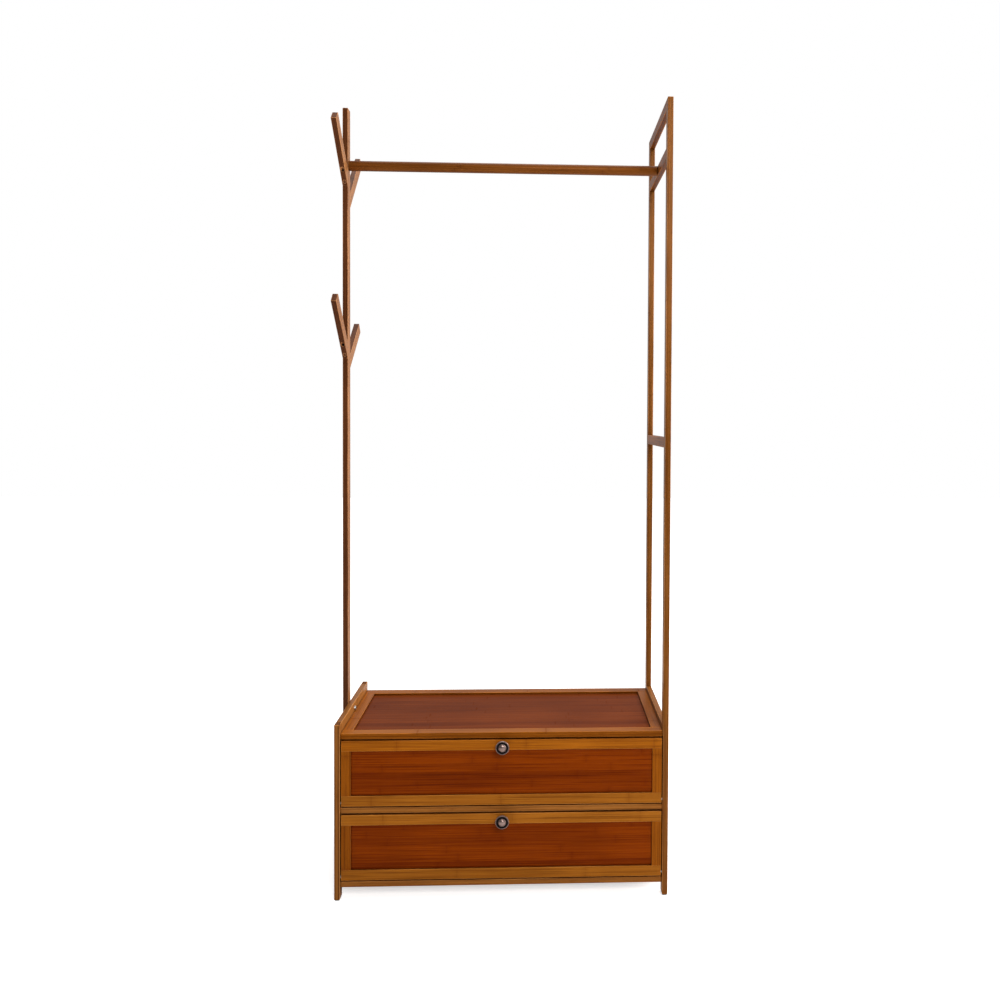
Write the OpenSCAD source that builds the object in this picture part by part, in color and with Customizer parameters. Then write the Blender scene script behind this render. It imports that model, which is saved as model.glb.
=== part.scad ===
// Hall tree with hooks: a two-compartment bench with flap doors, a ladder frame on the
// right, a hook post on the left and a hanging rod between them.
// Millimetres, +Z up. The cabinet frame has X = 0 midway between the side frames, Y = 0 on
// the front faces of the legs and Z = 0 on the floor. in_row_frame() moves every piece so
// that the origin is at the bottom centre of the whole bounding box.

/* [Overall] */
// Width across the outer faces of the two side frames
bench_w = 700; // [600:5:900]
// Depth from the front face of the legs to the back of the rear legs
bench_d = 300; // [260:5:400]
// Height of the bench top's upper surface
seat_h = 350; // [320:5:440]
// Height of the ladder frame on the right
ladder_h = 1680; // [1620:5:1850]
// Height of the hook post on the left
tree_h = 1692; // [1620:1:1850]

/* [Timber] */
// Thickness of every stick, across the side frames
stick_t = 12; // [11:0.5:16]
// Width of the legs, uprights and crossbars
stick_w = 22; // [20:1:30]
// Width of the hook post and of its hooks
post_w = 24; // [22:1:32]
// Thickness of the side, shelf, seat and door panels
panel_t = 5; // [4:0.5:6]
// How far a panel enters its grooves
groove = 4; // [3:0.5:5]
// Thickness of the back panel
back_t = 4; // [3:0.5:5]

/* [Side frames] */
// Height of the bottom rails and the bottom shelf above the floor
floor_gap = 26; // [20:1:50]
// Height of a bottom side rail
bottom_rail_h = 30; // [30:1:40]
// How far the left raised rail and the short legs stand above the seat
left_rise = 20; // [16:1:40]
// How far the right raised rail stands above the seat
right_rise = 10; // [6:1:40]
// Height of the middle crossbar's centre
middle_bar_z = 960; // [700:5:1200]
// Height of the hanging rod's axis and of its crossbar's centre
rod_z = 1568; // [1560:1:1600]
// Diameter of the hanging rod
rod_d = 22; // [18:1:22]

/* [Seat and shelves] */
// Thickness of the rails around the seat and the shelves
shelf_t = 12; // [12:0.5:16]
// How far the seat and shelves stand back from the leg fronts, and from the leg backs
setback = 5; // [5:0.5:8]
// Width of a front rail of the seat or a shelf
front_rail_w = 23; // [20:1:34]
// Width of the seat's rear rail
seat_rear_w = 26; // [20:1:34]
// Width of the seat's side members
seat_side_w = 22; // [18:1:30]
// Width of a shelf's rear rail
shelf_rear_w = 22; // [20:1:30]
// Depth of the seat panel below the seat's rails
seat_recess = 5; // [3:0.5:5]
// Depth of a shelf panel below the shelf's rails
shelf_recess = 3; // [2:0.5:4]

/* [Flap doors] */
// Thickness of a door
door_t = 12; // [12:0.5:16]
// How far the doors stand back from the leg fronts
door_setback = 2; // [1:0.5:4]
// Gap at each end of a door
door_side_gap = 2; // [0.8:0.1:3]
// Gap above a closed door
door_top_gap = 2.5; // [2:0.1:4]
// Gap below a closed door
door_bottom_gap = 3.5; // [3.5:0.1:5]
// Width of a door's top and bottom rails
door_rail_w = 22; // [18:1:30]
// Width of a door's end stiles
door_stile_w = 20; // [16:1:30]
// Depth of a door's panel behind the door's face
door_recess = 4.5; // [3:0.5:5]
// Diameter of a hinge pin
pin_d = 5; // [4:0.5:6]
// Length of a hinge pin inside the leg
pin_reach = 7; // [5:0.5:8]
// Length of a hinge pin inside the door
pin_grip = 14; // [10:1:20]

/* [Hooks] */
// Rise of a hook above the horizontal, in degrees
hook_angle = 45; // [35:1:55]
// Rise of the lower rear hook, which sits a little flatter
lower_rear_angle = 39; // [35:1:55]
// How far the upper front hook's lower edge reaches out from the post
upper_front_reach = 111; // [80:1:130]
// How far the upper rear hook's lower edge reaches out from the post
upper_rear_reach = 126; // [80:1:130]
// How far a lower hook's lower edge reaches out from the post
lower_reach = 112; // [80:1:130]
// Height of the upper front hook's root
upper_front_root = 1521; // [1500:1:1524]
// Height of the upper rear hook's root
upper_rear_root = 1477; // [1440:1:1500]
// Height of the lower front hook's root
lower_front_root = 1141; // [1000:1:1200]
// Height of the lower rear hook's root
lower_rear_root = 1121; // [1000:1:1180]

/* [Knobs] */
// Diameter of a knob's rim
knob_d = 29; // [24:1:34]
// How far a knob stands out from the door
knob_out = 24; // [20:1:30]
// Diameter of a knob's domed centre
dome_d = 17; // [14:0.5:20]
// Width of the dark groove round a knob's dome
knob_groove_w = 2.8; // [1:0.1:3.5]
// Diameter of a knob's neck
neck_d = 11; // [10:0.5:14]

/* [Fixings] */
// Diameter of a frame, rod or post bolt
bolt_d = 5; // [4:0.5:6]
// Diameter of a bolt's head
bolt_head_d = 9; // [8:0.5:10]
// Thickness of a bolt's head
bolt_head_t = 3; // [2.5:0.5:3.5]
// Distance of a barrel nut from the end of its rail
barrel_inset = 25; // [20:1:40]
// Diameter of a barrel nut
barrel_d = 8; // [7:0.5:9]
// Diameter of a wooden dowel
dowel_d = 6; // [5:0.5:7]
// Length of a wooden dowel
dowel_l = 16; // [12:1:16]
// Diameter of a hook's or knob's screw
screw_d = 4; // [3:0.5:4.5]
// How far a hook's screw and dowel enter the post
hook_bite = 11; // [8:0.5:11]
// Height of a hook's dowel above the hook's root
hook_dowel_rise = 7; // [6:0.5:9]
// Height of a hook's screw above the hook's root
hook_screw_rise = 28; // [24:0.5:28]
// Thickness of a foot pad
pad_t = 2; // [1:0.5:4]

/* [Clearances] */
// Gap around a bolt, a screw, a dowel or a panel in its hole or groove
fit = 0.1; // [0.05:0.05:0.3]
// Running clearance around a hinge pin in its leg
pin_fit = 0.05; // [0.01:0.01:0.1]
// Gap between a closed door's strike plate and its magnetic catch
catch_gap = 0.5; // [0.3:0.1:1]

/* [Hidden] */
$fn = 48;

half_w = bench_w / 2;
inner_w = half_w - stick_t;
mid_y = bench_d / 2;
cut = 1;

// Heights of the seat, the shelves and the two compartments
seat_z = seat_h - shelf_t;
compartment_h = (seat_z - floor_gap - 2 * shelf_t) / 2;
middle_z = floor_gap + shelf_t + compartment_h;
seat_rear_y = bench_d - setback;

// Doors: bottom edges, height, pivot height and depth positions
door_h = compartment_h - door_top_gap - door_bottom_gap;
lower_door_z = floor_gap + shelf_t + door_bottom_gap;
upper_door_z = middle_z + shelf_t + door_bottom_gap;
door_half = inner_w - door_side_gap;
door_back = door_setback + door_t;
pivot_y = door_setback + door_t / 2;
pivot_rise = door_t / 2;
knob_rise = door_h - door_rail_w / 2;

// Side panels sit mid-thickness in the side frames
side_panel_x = half_w - stick_t / 2;

// Fixings
bolt_y = stick_w / 2;
bolt_ys = [bolt_y, bench_d - bolt_y];
shelf_zs = [floor_gap, middle_z, seat_z];
post_bolt_zs = [floor_gap + shelf_t + bolt_head_d / 2 + 2.5, seat_h + bolt_head_d / 2 + 1.5];
dowel_r = dowel_d / 2;
catch_w = 30;
catch_size = 12;
catch_x = bench_w * 0.32;
strike_t = 1.2;
strike_w = 24;
strike_h = 10;
back_screw_xs = [for (k = [-3, -1, 1, 3]) k * bench_w * 0.135];

// Colours
bamboo = [0.55, 0.33, 0.12];
bamboo_red = [0.42, 0.19, 0.08];
bamboo_brown = [0.42, 0.24, 0.17];
pewter = [0.55, 0.50, 0.50];
steel = [0.72, 0.72, 0.74];
beech = [0.76, 0.60, 0.40];
dark_plastic = [0.16, 0.10, 0.07];

// ---------------------------------------------------------------- helpers

module in_row_frame() {
    translate([stick_t / 2, -(bench_d - (knob_out - door_setback)) / 2, 0]) children();
}

// A box from one corner to the opposite one, grown by g on every side
module block(low, high, g = 0) {
    translate([low[0] - g, low[1] - g, low[2] - g])
        cube([high[0] - low[0] + 2 * g, high[1] - low[1] + 2 * g, high[2] - low[2] + 2 * g]);
}

// A round bar along +X, +Y or +Z from its start point
module bar_x(p, length, d) { translate(p) rotate([0, 90, 0]) cylinder(h = length, d = d); }
module bar_y(p, length, d) { translate(p) rotate([-90, 0, 0]) cylinder(h = length, d = d); }
module bar_z(p, length, d) { translate(p) cylinder(h = length, d = d); }

// Mirrors what is drawn for the right side (side = 1) to the left one (side = -1)
module on_side(side) {
    mirror([side < 0 ? 1 : 0, 0, 0]) children();
}

// Draws a hook's or fixing's front version as it is (way = -1) or turned to the rear (way = 1)
module facing(way) {
    translate([0, mid_y, 0]) mirror([0, way < 0 ? 1 : 0, 0]) children();
}

// ---------------------------------------------------------------- fixings

// Bolt through a right-hand leg into the end of a rail. g widens it into its own hole.
module frame_bolt(y, z, g = 0) {
    head_out = g > 0 ? cut : 0;
    length = stick_t + barrel_inset + barrel_d;
    bar_x([half_w - bolt_head_t - g, y, z], bolt_head_t + g + head_out, bolt_head_d + 2 * g);
    bar_x([half_w - length - g, y, z], length + g - bolt_head_t / 2, bolt_d + 2 * g);
}

module all_frame_bolts(g = 0) {
    for (side = [-1, 1], y = bolt_ys, z = shelf_zs)
        on_side(side) frame_bolt(y, z + shelf_t / 2, g);
}

// Barrel nut, dropped into its rail from below
module all_barrel_nuts(g = 0) {
    length = shelf_t - 3;
    drop = g > 0 ? cut + 1 : 0;
    for (side = [-1, 1], y = bolt_ys, z = shelf_zs)
        on_side(side)
            bar_z([inner_w - barrel_inset, y, z + 1 - drop], length + drop + g, barrel_d + 2 * g);
}

// Dowels between the crossbars or rails and the legs, and between the seat's members
function left_bar_zs() = [
    floor_gap + bottom_rail_h / 2,
    (seat_z + seat_h + left_rise) / 2
];
function right_bar_zs() = [
    floor_gap + bottom_rail_h / 2,
    (seat_z + seat_h + right_rise) / 2,
    middle_bar_z,
    rod_z,
    ladder_h - stick_w / 2
];

module all_frame_dowels(g = 0) {
    length = dowel_l + 2 * g;
    near = -length / 2;
    for (y = [stick_w, bench_d - stick_w]) {
        for (z = left_bar_zs()) bar_y([-side_panel_x, y + near, z], length, dowel_d + 2 * g);
        for (z = right_bar_zs()) bar_y([side_panel_x, y + near, z], length, dowel_d + 2 * g);
    }
    for (side = [-1, 1], y = [setback + front_rail_w, seat_rear_y - seat_rear_w])
        bar_y([side * (inner_w - seat_side_w / 2), y + near, seat_z + shelf_t / 2],
            length, dowel_d + 2 * g);
}

// Bolts that clamp the hook post to the left side frame: heads on the rails' inner faces
module all_post_bolts(g = 0) {
    for (z = post_bolt_zs) {
        bar_x([-half_w - stick_t + 1.5 - g, mid_y, z], 2 * stick_t - 1.5 + g, bolt_d + 2 * g);
        if (g == 0) bar_x([-inner_w, mid_y, z], bolt_head_t, bolt_head_d);
    }
}

module all_post_nuts(g = 0) {
    open = g > 0 ? cut : 0;
    for (z = post_bolt_zs)
        bar_x([-half_w - stick_t - open, mid_y, z], 4 + open + g, bolt_head_d + 2 * g);
}

// Bolts into the two ends of the hanging rod
module all_rod_bolts(g = 0) {
    head_out = g > 0 ? cut : 0;
    length = stick_t + barrel_inset;
    bar_x([-half_w - stick_t - head_out, mid_y, rod_z], bolt_head_t + head_out + g,
        bolt_head_d + 2 * g);
    bar_x([-half_w - stick_t + cut, mid_y, rod_z], length + g, bolt_d + 2 * g);
    bar_x([half_w - bolt_head_t - g, mid_y, rod_z], bolt_head_t + head_out + g,
        bolt_head_d + 2 * g);
    bar_x([half_w - cut - length - g, mid_y, rod_z], length + g, bolt_d + 2 * g);
}

module all_back_screws(g = 0) {
    for (x = back_screw_xs, z = shelf_zs) {
        bar_y([x, seat_rear_y - 12 - g, z + shelf_t / 2], 12 + back_t + g, 2.5 + 2 * g);
        if (g == 0) bar_y([x, seat_rear_y + back_t, z + shelf_t / 2], 1, 5);
    }
}

// Six-sided socket for a bolt head that faces +X
module hex_socket(p, d) {
    translate(p) rotate([0, 90, 0]) cylinder(h = 2 * cut, d = d, center = true, $fn = 6);
}

// ---------------------------------------------------------------- hooks

// One hook's outline: x runs out from the post's face and y runs up from the root
module hook_outline(reach, rise) {
    tip = [reach, reach * tan(rise)];
    polygon([
        [0, 0],
        tip,
        tip + post_w * [-sin(rise), cos(rise)],
        [0, post_w / cos(rise)]
    ]);
}

module hook_block(root, reach, way, rise) {
    translate([-half_w - stick_t, 0, 0])
        facing(way)
            translate([0, post_w / 2, root])
                rotate([90, 0, 90]) linear_extrude(stick_t) hook_outline(reach, rise);
}

// Screw that holds a hook: its head sits at the bottom of a deep counterbore
module hook_screw(root, way, g = 0) {
    seat = 10;
    head_t = 3;
    z = root + hook_screw_rise;
    facing(way) {
        bar_y([-half_w - stick_t / 2, post_w / 2 - hook_bite - g, z],
            hook_bite + seat + head_t / 2 + g, screw_d + 2 * g);
        bar_y([-half_w - stick_t / 2, post_w / 2 + seat - g, z],
            g > 0 ? lower_reach : head_t, 2 * screw_d - 0.5 + 2 * g);
    }
}

// Dowel beside a hook's screw, trimmed flush with the hook's lower face
module hook_dowel_bar(root, way, g = 0) {
    length = hook_bite + lower_reach / 2;
    facing(way)
        bar_y([-half_w - stick_t / 2, post_w / 2 - hook_bite - g, root + hook_dowel_rise],
            length, dowel_d + 2 * g);
}

module hook_fixings(g = 0) {
    for (h = hooks) {
        hook_screw(h[0], h[2], g);
        hook_dowel_bar(h[0], h[2], g);
    }
}

// Each hook: root height, reach, way it faces (-1 front, 1 rear) and rise
hooks = [
    [upper_front_root, upper_front_reach, -1, hook_angle],
    [upper_rear_root, upper_rear_reach, 1, hook_angle],
    [lower_front_root, lower_reach, -1, hook_angle],
    [lower_rear_root, lower_reach, 1, lower_rear_angle]
];

module hook(i) {
    h = hooks[i];
    color(bamboo) in_row_frame() difference() {
        hook_block(h[0], h[1], h[2], h[3]);
        hook_screw(h[0], h[2], fit);
        hook_dowel_bar(h[0], h[2], fit);
    }
}

// ---------------------------------------------------------------- panels

module side_panel(side, g = 0) {
    on_side(side)
        block([side_panel_x - panel_t / 2, stick_w - groove, floor_gap + bottom_rail_h - groove],
            [side_panel_x + panel_t / 2, bench_d - stick_w + groove, seat_z + groove], g);
}

module seat_panel_block(g = 0) {
    half = inner_w - seat_side_w + groove;
    top = seat_h - seat_recess;
    block([-half, setback + front_rail_w - groove, top - panel_t],
        [half, seat_rear_y - seat_rear_w + groove, top], g);
}

module shelf_panel_block(z, g = 0) {
    top = z + shelf_t - shelf_recess;
    block([-inner_w, setback + front_rail_w - groove, top - panel_t],
        [inner_w, seat_rear_y - shelf_rear_w + groove, top], g);
}

module back_block() {
    edge = 1;
    block([-inner_w + fit, seat_rear_y, floor_gap + edge], [inner_w - fit, seat_rear_y + back_t,
        seat_h - edge]);
}

// ---------------------------------------------------------------- side frames

// A leg or upright of a side frame with every hole and groove that crosses it
module leg(side, y, top) {
    color(bamboo) in_row_frame() difference() {
        on_side(side) block([inner_w, y, pad_t], [half_w, y + stick_w, top]);
        side_panel(side, fit);
        all_frame_bolts(fit);
        all_frame_dowels(fit);
        for (z = [lower_door_z, upper_door_z]) hinge_pin_bar(side, z, pin_fit);
    }
}

// A crossbar or rail between the front and rear legs of a side frame
module crossbar(side, low, high) {
    color(bamboo) in_row_frame() difference() {
        on_side(side) block([inner_w, stick_w, low], [half_w, bench_d - stick_w, high]);
        side_panel(side, fit);
        all_frame_dowels(fit);
        all_post_bolts(fit);
        all_rod_bolts(fit);
    }
}

module left_front_leg() { leg(-1, 0, seat_h + left_rise); }
module left_rear_leg() { leg(-1, bench_d - stick_w, seat_h + left_rise); }
module left_raised_rail() { crossbar(-1, seat_z, seat_h + left_rise); }
module left_bottom_rail() { crossbar(-1, floor_gap, floor_gap + bottom_rail_h); }
module left_side_panel() { color(bamboo_red) in_row_frame() side_panel(-1); }

module right_front_upright() { leg(1, 0, ladder_h); }
module right_rear_upright() { leg(1, bench_d - stick_w, ladder_h); }
module right_top_crossbar() { crossbar(1, ladder_h - stick_w, ladder_h); }
module right_rod_crossbar() { crossbar(1, rod_z - stick_w / 2, rod_z + stick_w / 2); }
module right_middle_crossbar() { crossbar(1, middle_bar_z - stick_w / 2, middle_bar_z + stick_w / 2); }
module right_raised_rail() { crossbar(1, seat_z, seat_h + right_rise); }
module right_bottom_rail() { crossbar(1, floor_gap, floor_gap + bottom_rail_h); }
module right_side_panel() { color(bamboo_red) in_row_frame() side_panel(1); }

// ---------------------------------------------------------------- hook post and rod

module tree_post() {
    color(bamboo) in_row_frame() difference() {
        block([-half_w - stick_t, mid_y - post_w / 2, pad_t], [-half_w, mid_y + post_w / 2, tree_h]);
        hook_fixings(fit);
        all_post_bolts(fit);
        all_post_nuts(fit);
        all_rod_bolts(fit);
    }
}

module upper_front_hook() { hook(0); }
module upper_rear_hook() { hook(1); }
module lower_front_hook() { hook(2); }
module lower_rear_hook() { hook(3); }

module hanging_rod() {
    color(bamboo) in_row_frame() difference() {
        bar_x([-half_w, mid_y, rod_z], half_w + inner_w, rod_d);
        all_rod_bolts(fit);
    }
}

module hook_screws() {
    color(steel) in_row_frame() for (h = hooks) hook_screw(h[0], h[2]);
}

module hook_dowels() {
    color(beech) in_row_frame() for (h = hooks) intersection() {
        hook_dowel_bar(h[0], h[2]);
        union() {
            hook_block(h[0], h[1], h[2], h[3]);
            block([-half_w - stick_t, mid_y - post_w / 2, h[0]], [-half_w, mid_y + post_w / 2,
                h[0] + 2 * hook_dowel_rise]);
        }
    }
}

// ---------------------------------------------------------------- seat and shelves

// A long rail between the side frames, with the holes and grooves that cross it
module long_rail(low, high) {
    color(bamboo) in_row_frame() difference() {
        block(low, high);
        seat_panel_block(fit);
        for (z = [floor_gap, middle_z]) shelf_panel_block(z, fit);
        all_frame_bolts(fit);
        all_barrel_nuts(fit);
        all_frame_dowels(fit);
        all_back_screws(fit);
    }
}

module front_rail(z) {
    long_rail([-inner_w, setback, z], [inner_w, setback + front_rail_w, z + shelf_t]);
}

module rear_rail(z, width) {
    long_rail([-inner_w, seat_rear_y - width, z], [inner_w, seat_rear_y, z + shelf_t]);
}

module seat_member(side) {
    color(bamboo) in_row_frame() difference() {
        on_side(side) block([inner_w - seat_side_w, setback + front_rail_w, seat_z],
            [inner_w, seat_rear_y - seat_rear_w, seat_h]);
        seat_panel_block(fit);
        all_frame_dowels(fit);
    }
}

module seat_front_rail() { front_rail(seat_z); }
module seat_rear_rail() { rear_rail(seat_z, seat_rear_w); }
module seat_left_member() { seat_member(-1); }
module seat_right_member() { seat_member(1); }
module seat_panel() { color(bamboo_brown) in_row_frame() seat_panel_block(); }
module middle_shelf_front_rail() { front_rail(middle_z); }
module middle_shelf_rear_rail() { rear_rail(middle_z, shelf_rear_w); }
module middle_shelf_panel() { color(bamboo_red) in_row_frame() shelf_panel_block(middle_z); }
module bottom_shelf_front_rail() { front_rail(floor_gap); }
module bottom_shelf_rear_rail() { rear_rail(floor_gap, shelf_rear_w); }
module bottom_shelf_panel() { color(bamboo_red) in_row_frame() shelf_panel_block(floor_gap); }

module back_panel() {
    color(bamboo_red) in_row_frame() difference() {
        back_block();
        all_back_screws(fit);
    }
}

// ---------------------------------------------------------------- shared fixings as pieces

module post_bolts() {
    color(steel) in_row_frame() difference() {
        all_post_bolts();
        for (z = post_bolt_zs) hex_socket([-inner_w + bolt_head_t, mid_y, z], bolt_d * 0.6);
    }
}

module post_nuts() {
    color(steel) in_row_frame() difference() {
        all_post_nuts();
        all_post_bolts(fit);
    }
}

module rod_bolts() {
    color(steel) in_row_frame() difference() {
        all_rod_bolts();
        hex_socket([-half_w - stick_t, mid_y, rod_z], bolt_d * 0.6);
        hex_socket([half_w, mid_y, rod_z], bolt_d * 0.6);
    }
}

module frame_bolts() {
    color(steel) in_row_frame() difference() {
        all_frame_bolts();
        for (side = [-1, 1], y = bolt_ys, z = shelf_zs)
            on_side(side) hex_socket([half_w, y, z + shelf_t / 2], bolt_d * 0.6);
    }
}

module barrel_nuts() {
    color(steel) in_row_frame() difference() {
        all_barrel_nuts();
        all_frame_bolts(fit);
    }
}

module frame_dowels() { color(beech) in_row_frame() all_frame_dowels(); }
module back_panel_screws() { color(steel) in_row_frame() all_back_screws(); }

// Magnetic catches under the rail above each door
module catch_magnets() {
    y = door_back + strike_t + catch_gap;
    color(dark_plastic) in_row_frame() for (side = [-1, 1], z = [middle_z, seat_z])
        block([side * catch_x - catch_w / 2, y, z - catch_size],
            [side * catch_x + catch_w / 2, y + catch_size, z]);
}

module foot_pads() {
    edge = 1.5;
    color(dark_plastic) in_row_frame() {
        for (side = [-1, 1], y = [0, bench_d - stick_w])
            on_side(side) block([inner_w + edge, y + edge, 0], [half_w - edge, y + stick_w - edge,
                pad_t]);
        block([-half_w - stick_t + edge, mid_y - post_w / 2 + edge, 0],
            [-half_w - edge, mid_y + post_w / 2 - edge, pad_t]);
    }
}

// ---------------------------------------------------------------- doors

module hinge_pin_bar(side, z, g = 0) {
    length = pin_grip + door_side_gap + pin_reach;
    on_side(side)
        bar_x([door_half - pin_grip - g, pivot_y, z + pivot_rise], length + 2 * g, pin_d + 2 * g);
}

// The plane that holds a door's panel and the tongues of its stiles
module door_panel_block(z, g = 0) {
    half = door_half - door_stile_w + groove;
    block([-half, door_setback + door_recess, z + door_rail_w - groove],
        [half, door_setback + door_recess + panel_t, z + door_h - door_rail_w + groove], g);
}

module stile_tongues(z, g = 0) {
    edge = 5;
    for (side = [-1, 1])
        on_side(side)
            block([door_half - door_stile_w + groove + 2 * fit, door_setback + door_recess,
                z + door_rail_w - groove], [door_half - edge, door_setback + door_recess + panel_t,
                z + door_h - door_rail_w + groove], g);
}

module knob_screw_bar(z, g = 0) {
    bar_y([0, door_setback - 12 - g, z + knob_rise], 12 + door_t + g, screw_d + 2 * g);
}

module door_rail(z, low, high) {
    color(bamboo) in_row_frame() difference() {
        block([-door_half, door_setback, low], [door_half, door_back, high]);
        door_panel_block(z, fit);
        stile_tongues(z, fit);
        knob_screw_bar(z, fit);
        for (side = [-1, 1]) hinge_pin_bar(side, z, fit);
    }
}

module door_top_rail(z) { door_rail(z, z + door_h - door_rail_w, z + door_h); }
module door_bottom_rail(z) { door_rail(z, z, z + door_rail_w); }

module door_stile(z, side) {
    color(bamboo) in_row_frame() difference() {
        union() {
            on_side(side) block([door_half - door_stile_w, door_setback, z + door_rail_w],
                [door_half, door_back, z + door_h - door_rail_w]);
            intersection() {
                stile_tongues(z);
                on_side(side) block([0, 0, z], [bench_w, bench_d, z + door_h]);
            }
        }
        door_panel_block(z, fit);
    }
}

module door_panel(z) { color(bamboo_red) in_row_frame() door_panel_block(z); }

// Half outline of a knob: x is the radius, y is the distance out from the door
module knob_outline() {
    rim_r = knob_d / 2;
    neck_r = neck_d / 2;
    dome_r = dome_d / 2;
    ring_y = knob_out * 0.78;
    groove_y = ring_y - 2;
    dome_rise = knob_out - ring_y;
    steps = 8;
    polygon(concat(
        [[0, 0], [neck_r + 2, 0], [neck_r + 2, 1.5], [neck_r, 2.5], [neck_r, knob_out * 0.32]],
        [for (k = [1 : steps]) let (a = 90 * k / steps)
            [rim_r - (rim_r - neck_r) * cos(a), knob_out * (0.32 + 0.26 * sin(a))]],
        [[rim_r, ring_y - 1.2], [rim_r - 1.2, ring_y], [dome_r + knob_groove_w + 0.4, ring_y],
            [dome_r + knob_groove_w, groove_y], [dome_r, groove_y], [dome_r, ring_y]],
        [for (k = [1 : steps]) let (a = 90 * k / steps)
            [k == steps ? 0 : dome_r * cos(a), ring_y + dome_rise * sin(a)]]
    ));
}

module door_knob(z) {
    color(pewter) in_row_frame() difference() {
        translate([0, door_setback, z + knob_rise]) rotate([90, 0, 0]) rotate_extrude() knob_outline();
        knob_screw_bar(z, fit);
    }
}

module door_knob_screw(z) {
    color(steel) in_row_frame() {
        knob_screw_bar(z);
        bar_y([0, door_back, z + knob_rise], 2.4, 2 * screw_d);
    }
}

module door_strike_plates(z) {
    color(steel) in_row_frame() for (side = [-1, 1])
        block([side * catch_x - strike_w / 2, door_back, z + door_h - strike_h - 1],
            [side * catch_x + strike_w / 2, door_back + strike_t, z + door_h - 1]);
}

module door_hinge_pins(z) {
    color(steel) in_row_frame() for (side = [-1, 1]) hinge_pin_bar(side, z);
}

module upper_door_top_rail() { door_top_rail(upper_door_z); }
module upper_door_bottom_rail() { door_bottom_rail(upper_door_z); }
module upper_door_left_stile() { door_stile(upper_door_z, -1); }
module upper_door_right_stile() { door_stile(upper_door_z, 1); }
module upper_door_panel() { door_panel(upper_door_z); }
module upper_door_knob() { door_knob(upper_door_z); }
module upper_door_knob_screw() { door_knob_screw(upper_door_z); }
module upper_door_strike_plates() { door_strike_plates(upper_door_z); }
module upper_door_hinge_pins() { door_hinge_pins(upper_door_z); }

module lower_door_top_rail() { door_top_rail(lower_door_z); }
module lower_door_bottom_rail() { door_bottom_rail(lower_door_z); }
module lower_door_left_stile() { door_stile(lower_door_z, -1); }
module lower_door_right_stile() { door_stile(lower_door_z, 1); }
module lower_door_panel() { door_panel(lower_door_z); }
module lower_door_knob() { door_knob(lower_door_z); }
module lower_door_knob_screw() { door_knob_screw(lower_door_z); }
module lower_door_strike_plates() { door_strike_plates(lower_door_z); }
module lower_door_hinge_pins() { door_hinge_pins(lower_door_z); }

// ---------------------------------------------------------------- what is drawn

left_front_leg();
left_rear_leg();
left_raised_rail();
left_bottom_rail();
left_side_panel();
tree_post();
upper_front_hook();
upper_rear_hook();
lower_front_hook();
lower_rear_hook();
right_front_upright();
right_rear_upright();
right_top_crossbar();
right_rod_crossbar();
right_middle_crossbar();
right_raised_rail();
right_bottom_rail();
right_side_panel();
hanging_rod();
seat_front_rail();
seat_rear_rail();
seat_left_member();
seat_right_member();
seat_panel();
middle_shelf_front_rail();
middle_shelf_rear_rail();
middle_shelf_panel();
bottom_shelf_front_rail();
bottom_shelf_rear_rail();
bottom_shelf_panel();
back_panel();
hook_screws();
hook_dowels();
post_bolts();
post_nuts();
rod_bolts();
frame_bolts();
barrel_nuts();
frame_dowels();
catch_magnets();
back_panel_screws();
foot_pads();
upper_door_top_rail();
upper_door_bottom_rail();
upper_door_left_stile();
upper_door_right_stile();
upper_door_panel();
upper_door_knob();
upper_door_knob_screw();
upper_door_strike_plates();
upper_door_hinge_pins();
lower_door_top_rail();
lower_door_bottom_rail();
lower_door_left_stile();
lower_door_right_stile();
lower_door_panel();
lower_door_knob();
lower_door_knob_screw();
lower_door_strike_plates();
lower_door_hinge_pins();
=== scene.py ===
"""Bamboo hall tree: a slatted seat over two flap-door compartments, a ladder
frame on the right, a post with four hooks on the left and a hanging rod."""

import math

import bmesh
import bpy
from mathutils import Euler, Matrix, Vector


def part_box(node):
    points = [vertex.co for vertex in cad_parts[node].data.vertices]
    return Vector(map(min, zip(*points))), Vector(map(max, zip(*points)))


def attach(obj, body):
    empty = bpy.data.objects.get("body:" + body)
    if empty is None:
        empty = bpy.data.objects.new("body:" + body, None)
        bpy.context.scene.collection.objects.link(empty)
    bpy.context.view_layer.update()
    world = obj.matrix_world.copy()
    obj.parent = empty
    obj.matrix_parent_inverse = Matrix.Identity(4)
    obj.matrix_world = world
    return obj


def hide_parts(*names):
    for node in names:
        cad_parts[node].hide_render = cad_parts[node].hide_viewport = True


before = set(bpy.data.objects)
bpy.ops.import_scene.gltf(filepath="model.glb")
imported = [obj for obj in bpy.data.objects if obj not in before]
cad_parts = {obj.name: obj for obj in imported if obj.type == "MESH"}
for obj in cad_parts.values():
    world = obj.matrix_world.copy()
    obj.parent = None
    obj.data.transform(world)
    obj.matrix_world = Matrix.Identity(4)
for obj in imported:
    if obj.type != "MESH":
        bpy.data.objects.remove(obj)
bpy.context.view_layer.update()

# ---- Room ----
# A pale floor under a white room, a wide soft light on the right, a broad
# one overhead and a third high in front.

scene = bpy.context.scene
scene.view_settings.view_transform = "Standard"


def placed(name, data):
    """A new object in the scene."""
    thing = bpy.data.objects.new(name, data)
    scene.collection.objects.link(thing)
    return thing


eye = placed("eye", bpy.data.cameras.new("eye"))
eye.data.lens = 30.997
eye.data.sensor_width = 36
eye.data.shift_x = -0.0708
eye.data.shift_y = -0.0621
eye.data.clip_start = 0.05
eye.matrix_world = (
    Matrix.Translation((0.0721, -1.9327, 1.0092))
    @ Matrix.Rotation(-0.041, 4, "Z")
    @ Matrix.Rotation(-0.0222, 4, "X")
    @ Matrix.Rotation(-0.0052, 4, "Y")
    @ Matrix.Rotation(math.pi / 2, 4, "X")
)
scene.camera = eye


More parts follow.
